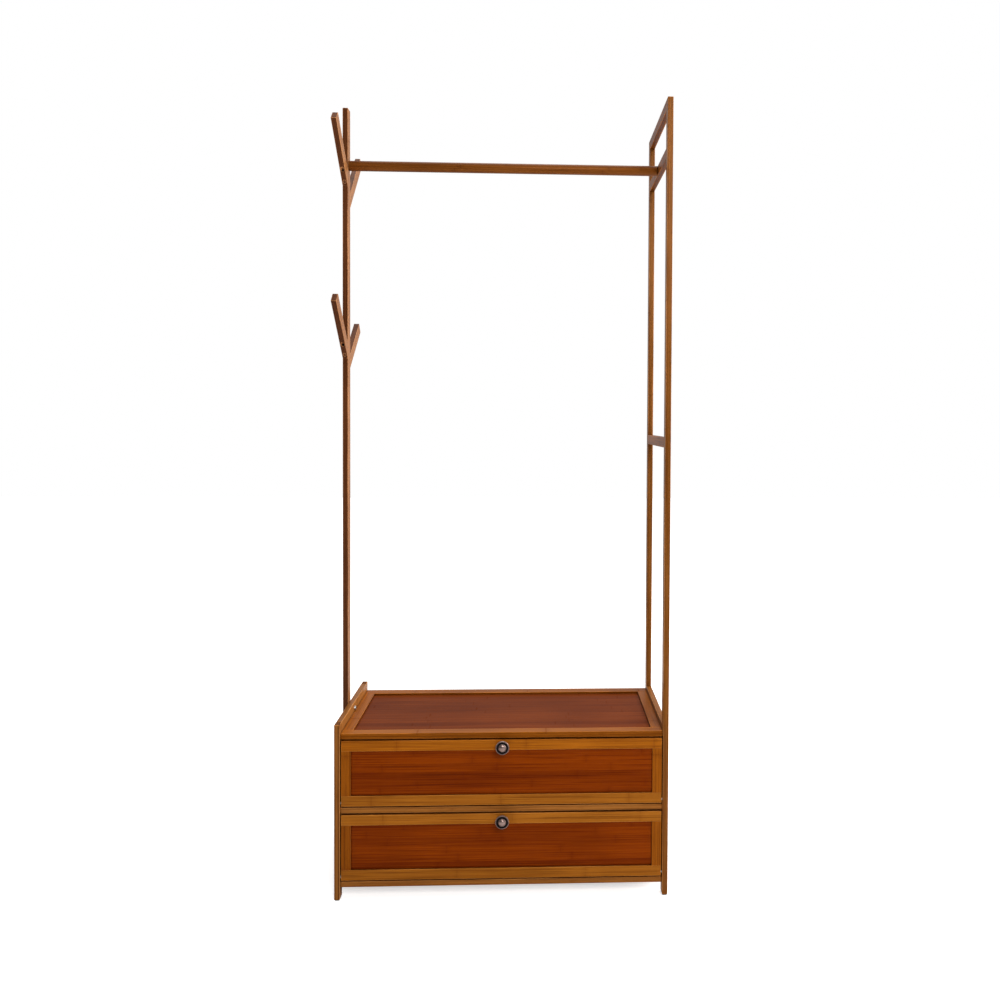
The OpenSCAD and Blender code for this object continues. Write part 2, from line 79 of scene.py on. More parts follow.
def softbox(name, place, aim, width, watts, tint):
    """A square soft light at place, turned to face aim."""
    lamp = bpy.data.lights.new(name, "AREA")
    lamp.size = width
    lamp.energy = watts
    lamp.color = tint
    light = placed(name, lamp)
    light.location = place
    light.rotation_mode = "QUATERNION"
    light.rotation_quaternion = (Vector(aim) - Vector(place)).to_track_quat("-Z", "Y")


softbox("window", (2.8, 0.4, 1.5), (0, 0, 0.8), 1.6, 84, (1.0, 0.97, 0.93))
softbox("ceiling", (0.2, 0.2, 3.6), (0, 0, 0.5), 2.6, 50, (1.0, 0.98, 0.96))
softbox("front", (0.7, -2.5, 2.1), (0, 0, 0.4), 1.2, 62, (1.0, 0.98, 0.96))


def put(tree, kind, wires=None, **settings):
    """Adds one node, sets its settings, and fills or wires its inputs."""
    node = tree.nodes.new(kind)
    for key, value in settings.items():
        setattr(node, key, value)
    for socket, source in (wires or {}).items():
        if isinstance(source, bpy.types.NodeSocket):
            tree.links.new(source, node.inputs[socket])
        else:
            node.inputs[socket].default_value = source
    return node


def cleared(owner):
    """The empty node tree of a world or a material."""
    owner.use_nodes = True
    owner.node_tree.nodes.clear()
    return owner.node_tree


room = bpy.data.worlds.new("white room")
air = cleared(room)
seen = put(air, "ShaderNodeLightPath")
way = put(air, "ShaderNodeTexCoord").outputs["Generated"]
depth = put(air, "ShaderNodeSeparateXYZ", {0: way}).outputs["Y"]
glow = put(air, "ShaderNodeMapRange", {0: depth, 1: -0.4, 2: 0.6, 3: 0.14, 4: 0.55})
soft_air = put(
    air, "ShaderNodeBackground", {"Color": (0.97, 0.98, 1, 1), "Strength": glow.outputs[0]}
)
white_air = put(air, "ShaderNodeBackground", {"Color": (1, 1, 1, 1), "Strength": 1.0})
both = put(
    air,
    "ShaderNodeMixShader",
    {0: seen.outputs["Is Camera Ray"], 1: soft_air.outputs[0], 2: white_air.outputs[0]},
)
put(air, "ShaderNodeOutputWorld", {"Surface": both.outputs[0]})
scene.world = room

floor_mesh = bpy.data.meshes.new("floor")
floor_mesh.from_pydata([(-9, -9, 0), (9, -9, 0), (9, 9, 0), (-9, 9, 0)], [], [(0, 1, 2, 3)])
floor = placed("floor", floor_mesh)
floor_paint = bpy.data.materials.new("floor paint")
paint = cleared(floor_paint)
matt = put(paint, "ShaderNodeBsdfDiffuse", {"Color": (0.9, 0.9, 0.9, 1)})
to_eye = put(paint, "ShaderNodeLightPath").outputs["Is Camera Ray"]
here = put(paint, "ShaderNodeTexCoord").outputs["Object"]
away = put(paint, "ShaderNodeVectorMath", {0: here}, operation="LENGTH").outputs["Value"]
lift = put(paint, "ShaderNodeMapRange", {0: away, 1: 0.6, 2: 2.6, 3: 0.62, 4: 1.0}).outputs[0]
lift = put(paint, "ShaderNodeMath", {0: to_eye, 1: lift}, operation="MULTIPLY").outputs[0]
haze = put(paint, "ShaderNodeEmission", {"Color": (1, 1, 1, 1), "Strength": lift})
painted = put(paint, "ShaderNodeAddShader", {0: matt.outputs[0], 1: haze.outputs[0]})
put(paint, "ShaderNodeOutputMaterial", {"Surface": painted.outputs[0]})
floor_mesh.materials.append(floor_paint)


# ---- Side frames ----
# Two frames of solid bamboo sticks, glued up from thin strips, planed square,
# eased along the arrises and lacquered: low on the left, a tall ladder on the
# right, where three crossbars join the two uprights.

# A stick's strips, the side that counts as thin and shows them as layers, how
# far outside the piece the first strip starts, and half a glue line's width.
LAYER = 0.004
THIN_SIDE = 0.014
SPARE = 0.0004
GLUE_LINE = 0.00018
ARRIS = 0.0011
CARAMEL = ((0.15, 0.033, 0.0012), (0.41, 0.125, 0.007))
PALE_CARAMEL = ((0.165, 0.048, 0.007), (0.43, 0.17, 0.034))

# How the grain of each way of lying is turned to run along X.
LOWER_REAR_RISE = 39
GRAIN = {
    "X": (0, 0, 0),
    "Y": (0, 0, -math.pi / 2),
    "Z": (0, math.pi / 2, 0),
    "front hook": (-math.pi / 4, math.pi / 2, 0),
    "rear hook": (math.pi / 4, math.pi / 2, 0),
    "flatter hook": (math.radians(90 - LOWER_REAR_RISE), math.pi / 2, 0),
}


def mixed(tree, amount, first, second, way="MIX"):
    """One colour mixed into another, by an amount that may vary."""
    node = put(
        tree,
        "ShaderNodeMix",
        {0: amount, 6: first, 7: second},
        data_type="RGBA",
        blend_type=way,
    )
    return node.outputs[2]


def sum_of(tree, way, first, second=0.0, third=0.0):
    """One step of arithmetic on values."""
    return put(tree, "ShaderNodeMath", {0: first, 1: second, 2: third}, operation=way).outputs[0]


def ranged(tree, value, low, high, to_low, to_high):
    """A value between low and high, carried to another range and held there."""
    node = put(
        tree,
        "ShaderNodeMapRange",
        {0: value, 1: low, 2: high, 3: to_low, 4: to_high},
        interpolation_type="SMOOTHSTEP",
    )
    return node.outputs[0]


def toned(colour, share, more=0.0):
    """A colour with every part scaled by a share, and a little more added."""
    return tuple(min(1.0, share * part + more) for part in colour[:3]) + (1,)


def own_place(tree):
    """Where a point lies on its own piece."""
    return put(tree, "ShaderNodeTexCoord").outputs["Object"]


def speckled(tree, where, scale, detail):
    """An even, cloudy noise."""
    return put(
        tree, "ShaderNodeTexNoise", {"Vector": where, "Scale": scale, "Detail": detail}
    ).outputs[0]


def raised(tree, strength, depth, height):
    """Fine relief from a height."""
    return put(
        tree, "ShaderNodeBump", {"Strength": strength, "Distance": depth, "Height": height}
    ).outputs[0]


def skinned(tree, sockets):
    """Ends a material in one surface with the given look."""
    surface = put(tree, "ShaderNodeBsdfPrincipled", sockets)
    put(tree, "ShaderNodeOutputMaterial", {0: surface.outputs[0]})


def bamboo(name, corners, grain, tones, seed, board=None, **finish):
    """Lacquered bamboo laid up from strips that run along the piece.

    A stick has three thin layers, each one strip wide. A board has strips of the given width side by
    side. Each strip has its own tone, fibres and knuckles, with a fine glue line between neighbours.
    The ends of the strips drink more stain. Their edge faces are darkened as well, partly as stain and
    partly as painted shade for the faces the light reaches less. Arrises get a patchy painted
    highlight, and painted shade darkens the inner corners. The finish can say how far apart the
    knuckles are, how plain they show, how much the edge faces are darkened, how much more a stick's
    outer layers are darkened, what tint the darkening has, and how glossy and how white the sheen is."""
    knuckle = finish.get("knuckle", 0.27)
    plain = finish.get("plain", 1.0)
    drunk = finish.get("drunk", 0.0 if board else 0.62)
    banded = finish.get("banded", 0.0 if board else 0.3)
    darkening_tint = finish.get("darkening_tint", (0.34, 0.27, 0.25, 1))
    lustre = finish.get("lustre", 1.28)
    white = finish.get("white", 0.0)
    turn = Euler(GRAIN[grain])
    low, high = corners
    spots = [
        turn.to_matrix() @ Vector((x, y, z))
        for x in (low.x, high.x)
        for y in (low.y, high.y)
        for z in (low.z, high.z)
    ]
    foot = Vector([min(p[i] for p in spots) for i in range(3)])
    size = Vector([max(p[i] for p in spots) for i in range(3)]) - foot
    wanted = [LAYER if side < THIN_SIDE and not board else board or 1.0 for side in size.yz]
    across = [
        (side + 2 * SPARE) / max(1, round(side / pitch)) for side, pitch in zip(size.yz, wanted)
    ]

    material = bpy.data.materials.new(name)
    tree = cleared(material)
    laid = put(
        tree,
        "ShaderNodeMapping",
        {
            "Vector": own_place(tree),
            "Rotation": turn,
            "Location": (seed * 0.731 - foot.x, SPARE - foot.y, SPARE - foot.z),
        },
    ).outputs[0]
    axes = put(tree, "ShaderNodeSeparateXYZ", {0: laid})
    along = axes.outputs[0]

    # The strip that a point is on, and the glue line at the strip's edge.
    cells = []
    seams = []
    for socket, pitch in zip(axes.outputs[1:], across):
        turns = sum_of(tree, "DIVIDE", socket, pitch)
        cells.append(sum_of(tree, "FLOOR", turns))
        middle = sum_of(tree, "SUBTRACT", sum_of(tree, "FRACT", turns), 0.5)
        middle = sum_of(tree, "ABSOLUTE", middle)
        seams.append(ranged(tree, middle, 0.5 - GLUE_LINE / pitch, 0.5, 0.0, 1.0))
    cell = sum_of(tree, "MULTIPLY_ADD", cells[1], 7.31, cells[0])
    own = put(
        tree,
        "ShaderNodeTexWhiteNoise",
        {"W": sum_of(tree, "ADD", cell, seed * 3.17)},
        noise_dimensions="1D",
    )
    seam = sum_of(tree, "MAXIMUM", seams[0], seams[1])
    shift = put(
        tree, "ShaderNodeVectorMath", {0: own.outputs["Color"], "Scale": 40.0}, operation="SCALE"
    ).outputs[0]

    def grainy(stretch, detail):
        """Noise drawn out along the strip, different on every strip."""
        scaled = put(
            tree,
            "ShaderNodeVectorMath",
            {0: laid, 1: stretch, 2: shift},
            operation="MULTIPLY_ADD",
        )
        return put(
            tree,
            "ShaderNodeTexNoise",
            {"Vector": scaled.outputs[0], "Scale": 1.0, "Detail": detail, "Roughness": 0.6},
        ).outputs[0]

    fibre = grainy((24, 1300, 1300), 3.0)
    dash = grainy((55, 2300, 2300), 1.0)
    streak = grainy((3.2, 330, 330), 2.0)
    vein = grainy((4.5, 620, 620), 1.0)
    cloud = grainy((5, 60, 60), 2.0)
    patch = speckled(tree, laid, 5.5, 1.0)

    # How far a point is from its strip's nearest knuckle.
    spot = sum_of(tree, "MULTIPLY_ADD", along, 1 / knuckle, own.outputs["Value"])
    spot = sum_of(tree, "FRACT", spot)
    off = sum_of(tree, "ABSOLUTE", sum_of(tree, "SUBTRACT", spot, 0.5))
    off = sum_of(tree, "MULTIPLY_ADD", cloud, 0.006 / knuckle, off)
    line = ranged(tree, off, 0.0032 / knuckle, 0.0050 / knuckle, 1.0, 0.0)
    halo = ranged(tree, off, 0.0040 / knuckle, 0.0160 / knuckle, 1.0, 0.0)

    # The strip's own tone, then its fibres, flecks, knuckles and glue lines.
    tone = sum_of(tree, "MULTIPLY_ADD", own.outputs["Value"], 0.34, -0.86)
    tone = sum_of(tree, "MULTIPLY_ADD", patch, 0.60, tone)
    tone = sum_of(tree, "MULTIPLY_ADD", cloud, 0.50, tone)
    tone = sum_of(tree, "MULTIPLY_ADD", streak, 0.85, tone)
    tone = sum_of(tree, "MULTIPLY_ADD", fibre, 0.45, tone)
    dark, light = [(*c, 1) for c in tones]
    colour = mixed(tree, tone, dark, light)
    vein = ranged(tree, vein, 0.53, 0.66, 0.0, 0.62)
    colour = mixed(tree, vein, colour, toned(dark, 0.7))
    flecks = ranged(tree, dash, 0.52, 0.70, 0.0, 1.0)
    shade = sum_of(tree, "MULTIPLY_ADD", halo, 0.35 * plain, 0.22)
    colour = mixed(tree, sum_of(tree, "MULTIPLY", flecks, shade), colour, dark)
    colour = mixed(tree, sum_of(tree, "MULTIPLY", halo, 0.16 * plain), colour, dark)
    colour = mixed(tree, sum_of(tree, "MULTIPLY", line, 0.34 * plain), colour, dark)
    colour = mixed(tree, sum_of(tree, "MULTIPLY", seam, 0.5), colour, toned(dark, 0.6))

    # Ends drink more stain. Edge faces are darkened too, partly stain and partly painted shade for
    # faces the light reaches less, and a stick's outer layers the most.
    facing = put(
        tree,
        "ShaderNodeMapping",
        {"Vector": put(tree, "ShaderNodeTexCoord").outputs["Normal"], "Rotation": turn},
        vector_type="VECTOR",
    ).outputs[0]
    facing = put(tree, "ShaderNodeSeparateXYZ", {0: facing}).outputs
    open_end = ranged(tree, sum_of(tree, "ABSOLUTE", facing[0]), 0.5, 0.9, 0.0, 0.85)
    thin, edge_face = (1, 2) if size.y < THIN_SIDE else (2, 1)
    off_core = sum_of(tree, "SUBTRACT", axes.outputs[thin], size[thin] / 2 + SPARE)
    off_core = sum_of(tree, "ABSOLUTE", off_core)
    band = ranged(tree, off_core, 0.17 * size[thin], 0.36 * size[thin], 0.0, (1 - drunk) * banded)
    edge_on = ranged(tree, sum_of(tree, "ABSOLUTE", facing[edge_face]), 0.4, 0.9, 0.0, 1.0)
    edge_on = sum_of(tree, "MULTIPLY", edge_on, sum_of(tree, "ADD", band, drunk))
    darkened_colour = mixed(tree, 1.0, colour, darkening_tint, "MULTIPLY")
    colour = mixed(tree, sum_of(tree, "MAXIMUM", open_end, edge_on), colour, darkened_colour)

    # A patchy painted highlight lightens the arrises, and painted shade darkens the inner corners.
    arris = put(tree, "ShaderNodeAttribute", attribute_name="arris").outputs["Fac"]
    rub_and_highlight = sum_of(tree, "MULTIPLY", arris, ranged(tree, cloud, 0.35, 0.62, 0.12, 0.55))
    colour = mixed(tree, rub_and_highlight, colour, toned(light, 1.5, 0.03))
    # Painted shade: ambient occlusion darkens creases, joints and inner corners.
    corner = put(tree, "ShaderNodeAmbientOcclusion", {"Distance": 0.006}, samples=6).outputs["AO"]
    painted_corner_shade = ranged(tree, corner, 0.30, 0.72, 0.85, 0.0)
    colour = mixed(tree, painted_corner_shade, colour, toned(dark, 0.22))

    rough = sum_of(tree, "MULTIPLY_ADD", fibre, 0.16, 0.30)
    rough = sum_of(tree, "MULTIPLY_ADD", open_end, 0.35, rough)
    rough = sum_of(tree, "MULTIPLY_ADD", line, 0.12, rough)
    height = sum_of(tree, "MULTIPLY_ADD", line, 0.9, fibre)
    height = sum_of(tree, "SUBTRACT", height, seam)
    skinned(
        tree,
        {
            "Base Color": colour,
            "Roughness": rough,
            "Normal": raised(tree, 0.35, 0.00016, height),
            "IOR": lustre,
            "Specular Tint": (*[white + (1 - white) * c / light[0] for c in light[:3]], 1),
            "Coat Weight": 0.03,
            "Coat Roughness": 0.22,
        },
    )
    return material


def mark_arris(mesh, widest):
    """Marks the narrow faces of a rounded-over edge, where the wood's painted highlight and the lighter
    edges of the other materials go.
    """
    rub = mesh.attributes.new("arris", "FLOAT", "FACE")
    for face in mesh.polygons:
        longest = max(
            (mesh.vertices[a].co - mesh.vertices[b].co).length for a, b in face.edge_keys
        )
        rub.data[face.index].value = 1.0 if face.area < widest * longest else 0.0


def folded(mesh):
    """True when more than a sliver is turned inside out, because two arrises met."""
    mesh.calc_loop_triangles()
    for triangle in mesh.loop_triangles:
        a, b, c = [mesh.vertices[i].co for i in triangle.vertices]
        flat = (b - a).cross(c - a)
        outward = mesh.polygons[triangle.polygon_index].normal
        if flat.length > 1e-6 and flat.dot(outward) < 0:
            return True
    return False


def eased(node, round_over=ARRIS):
    """The solid of one CAD node with its arrises rounded over, in its place.

    Where two arrises lie too near each other, all are rounded less."""
    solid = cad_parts[node].data.copy()
    shape = bmesh.new()
    shape.from_mesh(solid)
    bmesh.ops.remove_doubles(shape, verts=shape.verts, dist=2e-6)
    bmesh.ops.dissolve_limit(
        shape, angle_limit=math.radians(1), verts=shape.verts, edges=shape.edges
    )
    for face in shape.faces:
        face.smooth = True
    sharp = shape.edges.layers.float.new("bevel_weight_edge")
    for edge in shape.edges:
        if edge.is_convex and edge.calc_face_angle(0.0) > math.radians(32):
            edge[sharp] = 1.0
    shape.to_mesh(solid)
    shape.free()
    for old in [a.name for a in solid.attributes if a.name.startswith("custom_normal")]:
        solid.attributes.remove(solid.attributes[old])
    blank = placed(node + "_blank", solid)
    planed = blank.modifiers.new("arris", "BEVEL")
    planed.segments = 3
    planed.limit_method = "WEIGHT"
    planed.use_clamp_overlap = False
    planed.loop_slide = False
    planed.harden_normals = True
    for share in (1.0, 0.8, 0.6, 0.4, 0.2):
        planed.width = round_over * share
        seen_by = bpy.context.evaluated_depsgraph_get()
        mesh = bpy.data.meshes.new_from_object(blank.evaluated_get(seen_by))
        if not folded(mesh):
            break
    bpy.data.objects.remove(blank)
    mark_arris(mesh, round_over * share * 0.75)
    mesh.materials.clear()
    return placed(node + "_wood", mesh)


def fit_piece(piece, node, body, material):
    """Gives a finished piece its material and its body, and hides the CAD node it stands for."""
    piece.data.materials.append(material)
    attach(piece, body)
    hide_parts(*([node] if isinstance(node, str) else node))


side_sticks = {
    "left_front_leg": "Z",
    "left_rear_leg": "Z",
    "left_raised_rail": "Y",
    "left_bottom_rail": "Y",
    "right_front_upright": "Z",
    "right_rear_upright": "Z",
    "right_top_crossbar": "Y",
    "right_rod_crossbar": "Y",
    "right_middle_crossbar": "Y",
    "right_raised_rail": "Y",
    "right_bottom_rail": "Y",
}
for number, (node, grain) in enumerate(side_sticks.items()):
    # Edge-face darkening set here is partly stain and partly painted shade: legs and uprights take pale
    # tones for their lit sides and dark narrow faces.
    if node.endswith("raised_rail"):
        tones, stick_stain_and_shade = PALE_CARAMEL, {"drunk": 0.15}
    elif node.endswith(("leg", "upright")):
        tones, stick_stain_and_shade = PALE_CARAMEL, {"drunk": 0.45, "banded": 0.9}
    else:
        tones, stick_stain_and_shade = CARAMEL, {"drunk": 0.7, "white": 0.5}
    wood = bamboo(node + "_bamboo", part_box(node), grain, tones, number + 1, **stick_stain_and_shade)
    fit_piece(eased(node), node, "cabinet", wood)


# ---- Side panels ----
# A thin red-brown bamboo board closes each side frame below the seat. It
# stands in grooves in the legs and rails, so all four edges are hidden.

RED_BROWN = ((0.088, 0.009, 0.0004), (0.262, 0.044, 0.0008))
BOARD = 0.0185
BOARD_ARRIS = 0.0004

for number, node in enumerate(("left_side_panel", "right_side_panel")):
    wood = bamboo(
        node + "_bamboo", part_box(node), "Y", RED_BROWN, number + 21, BOARD, knuckle=0.31, plain=0.6
    )
    fit_piece(eased(node, BOARD_ARRIS), node, "cabinet", wood)


# ---- Hook post ----
# A single stick as tall as the ladder stands outside the left frame. Four
# square-cut arms leave it at 45 degrees, two forward and two back, the lower
# rear one a little flatter. A sunk screw and a glued plug hold each.

# Pale tones for the lit sides of the post and arms. Their narrow faces are darkened hard, partly as
# stain and partly as painted shade.
PALE_RUSSET = ((0.17, 0.054, 0.014), (0.46, 0.20, 0.07))
ARM_AND_POST_STAIN_AND_SHADE = {"drunk": 0.9, "banded": 0.8, "darkening_tint": (0.22, 0.125, 0.085, 1), "white": 0.2}

wood = bamboo("tree_post_bamboo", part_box("tree_post"), "Z", PALE_RUSSET, 31, **ARM_AND_POST_STAIN_AND_SHADE)
fit_piece(eased("tree_post"), "tree_post", "cabinet", wood)
for number, node in enumerate(
    ("upper_front_hook", "upper_rear_hook", "lower_front_hook", "lower_rear_hook")
):
    grain = "front hook" if "front" in node else "rear hook"
    if node == "lower_rear_hook":
        grain = "flatter hook"
    wood = bamboo(node + "_bamboo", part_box(node), grain, PALE_RUSSET, number + 32, **ARM_AND_POST_STAIN_AND_SHADE)
    fit_piece(eased(node), node, "cabinet", wood)


# ---- Hanging rod ----
# A turned bamboo rod between the post and the ladder, bolted at both ends
# through the sticks. The ends are square with a fine chamfer.

# Darker tones than the frame sticks, as painted shade for the dimmer light at the rod's height.
ROD_DIMMED_TONES = ((0.070, 0.017, 0.0022), (0.205, 0.066, 0.011))

# The chamfer at each end: how far in from the end, and how much thinner.
ROD_CHAMFER = ((0.0, 0.0008), (0.0003, 0.0003), (0.0009, 0.0))
ROD_SIDES = 96


def round_about(sides):
    """The cosine and sine of each step of one turn."""
    return [
        (math.cos(2 * math.pi * k / sides), math.sin(2 * math.pi * k / sides))
        for k in range(sides)
    ]


def skin_rings(shape, rings):
    """Joins the rings of a turned piece, one to the next, and closes its foot."""
    for first, second in zip(rings, rings[1:]):
        for k in range(len(first)):
            shape.faces.new((first[k], second[k], second[k - 1], first[k - 1]))
    shape.faces.new(rings[0])


def turned_mesh(name, shape):
    """The mesh of a finished turned shape, with its faces outward."""
    bmesh.ops.recalc_face_normals(shape, faces=shape.faces)
    mesh = bpy.data.meshes.new(name)
    shape.to_mesh(mesh)
    shape.free()
    return mesh


low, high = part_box("hanging_rod")
centre = (low + high) / 2
radius = (high.z - low.z) / 2
stations = [(low.x + in_from_end, radius - thinner) for in_from_end, thinner in ROD_CHAMFER]
stations += [
    (high.x - in_from_end, radius - thinner) for in_from_end, thinner in ROD_CHAMFER[::-1]
]
turned = bmesh.new()
rings = [
    [
        turned.verts.new((x, centre.y + r * across, centre.z + r * up))
        for across, up in round_about(ROD_SIDES)
    ]
    for x, r in stations
]
skin_rings(turned, rings)
turned.faces.new(rings[-1][::-1])
for face in turned.faces:
    face.smooth = len(face.verts) == 4
rod_mesh = turned_mesh("hanging_rod_turned", turned)
rod_mesh.set_sharp_from_angle(angle=math.radians(40))
rod = placed("hanging_rod_turned", rod_mesh)
wood = bamboo("hanging_rod_bamboo", (low, high), "X", ROD_DIMMED_TONES, 41, 0.0075, knuckle=0.33)
fit_piece(rod, "hanging_rod", "cabinet", wood)


# ---- Seat ----
# Four wide bamboo members with a thinner cocoa-brown board let in a little
# below their tops. The seat is bolted between the two side frames.

COCOA = ((0.080, 0.013, 0.002), (0.205, 0.043, 0.007))

for number, (node, grain) in enumerate(
    (
        ("seat_front_rail", "X"),
        ("seat_rear_rail", "X"),
        ("seat_left_member", "Y"),
        ("seat_right_member", "Y"),
    )
):
    # Edge faces darkened partly by stain and partly as painted shade.
    wood = bamboo(node + "_bamboo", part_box(node), grain, CARAMEL, number + 51, drunk=0.45)
    fit_piece(eased(node), node, "cabinet", wood)
wood = bamboo(
    "seat_panel_bamboo",
    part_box("seat_panel"),
    "X",
    COCOA,
    56,
    BOARD,
    knuckle=0.31,
    plain=0.25,
    lustre=1.09,
)
fit_piece(eased("seat_panel", BOARD_ARRIS), "seat_panel", "cabinet", wood)


# ---- Shelves and back ----
# A front and a rear rail, with a thin board let in between them, make the
# floor of each compartment. One thin board screwed behind closes the back.

for number, node in enumerate(
    (
        "middle_shelf_front_rail",
        "middle_shelf_rear_rail",
        "bottom_shelf_front_rail",
        "bottom_shelf_rear_rail",
    )
):
    # Edge faces darkened partly by stain and partly as painted shade.
    wood = bamboo(node + "_bamboo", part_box(node), "X", PALE_CARAMEL, number + 61, drunk=0.1)
    fit_piece(eased(node), node, "cabinet", wood)
for number, node in enumerate(("middle_shelf_panel", "bottom_shelf_panel", "back_panel")):
    wood = bamboo(
        node + "_bamboo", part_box(node), "X", RED_BROWN, number + 66, BOARD, knuckle=0.31, plain=0.6
    )
    fit_piece(eased(node, BOARD_ARRIS), node, "cabinet", wood)


# ---- Flap doors ----
# Each door is a frame of four bamboo sticks, the rails running right across
# and the stiles between them, around a red-brown board set well back.

HONEY = ((0.16, 0.042, 0.003), (0.44, 0.155, 0.015))
AMBER = ((0.12, 0.025, 0.0010), (0.34, 0.097, 0.005))
DOOR_ARRIS = 0.0009

for number, body in enumerate(("upper_door", "lower_door")):
    for part, (stick, grain, tones) in enumerate(
        (
            ("top_rail", "X", (CARAMEL, HONEY)[number]),
            ("bottom_rail", "X", HONEY),
            ("left_stile", "Z", AMBER),
            ("right_stile", "Z", AMBER),
        )
    ):
        node = body + "_" + stick
        wood = bamboo(node + "_bamboo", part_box(node), grain, tones, 71 + 5 * number + part)
        fit_piece(eased(node, DOOR_ARRIS), node, body, wood)
    node = body + "_panel"
    wood = bamboo(
        node + "_bamboo",
        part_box(node),
        "X",
        RED_BROWN,
        75 + 5 * number,
        BOARD,
        knuckle=0.24,
        plain=0.7,
        lustre=1.2,
    )
    fit_piece(eased(node, BOARD_ARRIS), node, body, wood)


# ---- Knobs ----
# A turned pewter-finish knob on each door: a neck that flares to a beaded
# rim, a dark groove inside it and a domed middle. A screw from behind holds it.

# From the door outward: radius, how far out from the door, and how dark the
# metal has stayed there.
KNOB_PROFILE = (
    (0.0075, 0.0000, 0.2),
    (0.0075, 0.0012, 0.0),
    (0.0070, 0.0019, 0.1),
    (0.0055, 0.0027, 0.9),
    (0.0053, 0.0050, 0.5),
    (0.0055, 0.0078, 0.2),
    (0.0066, 0.0098, 0.1),
    (0.0086, 0.0117, 0.0),
    (0.0109, 0.0130, 0.0),
    (0.0129, 0.0139, 0.0),
    (0.0137, 0.0147, 0.6),
    (0.0136, 0.0154, 1.0),
    (0.0142, 0.0160, 0.1),
    (0.0145, 0.0170, 0.3),
    (0.0142, 0.0180, 0.0),
    (0.0137, 0.0185, 0.2),
    (0.0131, 0.0184, 0.4),
    (0.0124, 0.0186, 0.7),
    (0.0118, 0.0187, 1.0),
    (0.0115, 0.0183, 1.0),
    (0.0113, 0.0170, 1.0),
    (0.0088, 0.0168, 1.0),
    (0.0085, 0.0180, 0.9),
    (0.0084, 0.0188, 0.4),
    (0.0080, 0.0202, 0.1),
    (0.0071, 0.0215, 0.0),
    (0.0059, 0.0226, 0.0),
    (0.0043, 0.0234, 0.0),
    (0.0024, 0.0238, 0.0),
)
KNOB_CROWN = 0.0239
KNOB_SIDES = 64
BEAD_RING = 0.0182

pewter = bpy.data.materials.new("antique_pewter")
metal = cleared(pewter)
spot = own_place(metal)
fine = speckled(metal, spot, 900.0, 3.0)
broad = speckled(metal, spot, 140.0, 2.0)
groove = put(metal, "ShaderNodeAttribute", attribute_name="groove").outputs["Fac"]
rub_and_highlight = mixed(metal, broad, (0.17, 0.105, 0.09, 1), (0.36, 0.26, 0.235, 1))
patina = sum_of(metal, "MULTIPLY_ADD", ranged(metal, fine, 0.45, 0.75, 0.0, 0.35), 1.0, groove)
covered = ranged(metal, patina, 0.1, 1.0, 0.0, 1.0)
tarnish = mixed(metal, covered, rub_and_highlight, (0.012, 0.009, 0.010, 1))
dull = sum_of(metal, "MULTIPLY_ADD", patina, 0.35, 0.27)
dents = raised(metal, 0.3, 0.0001, fine)
skinned(metal, {"Base Color": tarnish, "Metallic": 0.85, "Roughness": dull, "Normal": dents})


def socketed(tree, name, kind, value=None):
    """Adds a named input to a geometry tree."""
    socket = tree.interface.new_socket(name=name, in_out="INPUT", socket_type=kind)
    if value is not None:
        socket.default_value = value
    return socket


def grown(piece_name, start, tree, values):
    """Runs a geometry tree on a mesh with named inputs and keeps the result."""
    seedling = placed(piece_name + "_points", start)
    maker = seedling.modifiers.new("maker", "NODES")
    maker.node_group = tree
    for socket in tree.interface.items_tree:
        if socket.item_type == "SOCKET" and socket.name in values:
            maker[socket.identifier] = values[socket.name]
    seedling.update_tag()
    seen_by = bpy.context.evaluated_depsgraph_get()
    mesh = bpy.data.meshes.new_from_object(seedling.evaluated_get(seen_by))
    bpy.data.objects.remove(seedling)
    for face in mesh.polygons:
        face.use_smooth = True
    mesh.set_sharp_from_angle(angle=math.radians(38))
    return placed(piece_name, mesh)


beading = bpy.data.node_groups.new("beaded rim", "GeometryNodeTree")
socketed(beading, "Geometry", "NodeSocketGeometry")
socketed(beading, "Centre", "NodeSocketVector")
socketed(beading, "Ring Radius", "NodeSocketFloat", 0.0134)
socketed(beading, "Bead Radius", "NodeSocketFloat", 0.00075)
socketed(beading, "Beads", "NodeSocketInt", 44)
socketed(beading, "Metal", "NodeSocketMaterial")
beading.interface.new_socket(name="Geometry", in_out="OUTPUT", socket_type="NodeSocketGeometry")
given = put(beading, "NodeGroupInput").outputs
ring = put(
    beading,
    "GeometryNodeMeshCircle",
    {"Vertices": given["Beads"], "Radius": given["Ring Radius"]},
)
laid_ring = put(
    beading,
    "GeometryNodeTransform",
    {
        "Geometry": ring.outputs[0],
        "Translation": given["Centre"],
        "Rotation": Euler((math.pi / 2, 0, 0)),
    },
)
bead = put(
    beading, "GeometryNodeMeshIcoSphere", {"Radius": given["Bead Radius"], "Subdivisions": 2}
)
beads = put(
    beading,
    "GeometryNodeInstanceOnPoints",
    {"Points": laid_ring.outputs[0], "Instance": bead.outputs[0]},
)
whole = put(beading, "GeometryNodeJoinGeometry")
beading.links.new(beads.outputs[0], whole.inputs[0])
beading.links.new(given["Geometry"], whole.inputs[0])
real = put(beading, "GeometryNodeRealizeInstances", {0: whole.outputs[0]})
plated = put(
    beading, "GeometryNodeSetMaterial", {"Geometry": real.outputs[0], "Material": given["Metal"]}
)
put(beading, "NodeGroupOutput", {0: plated.outputs[0]})

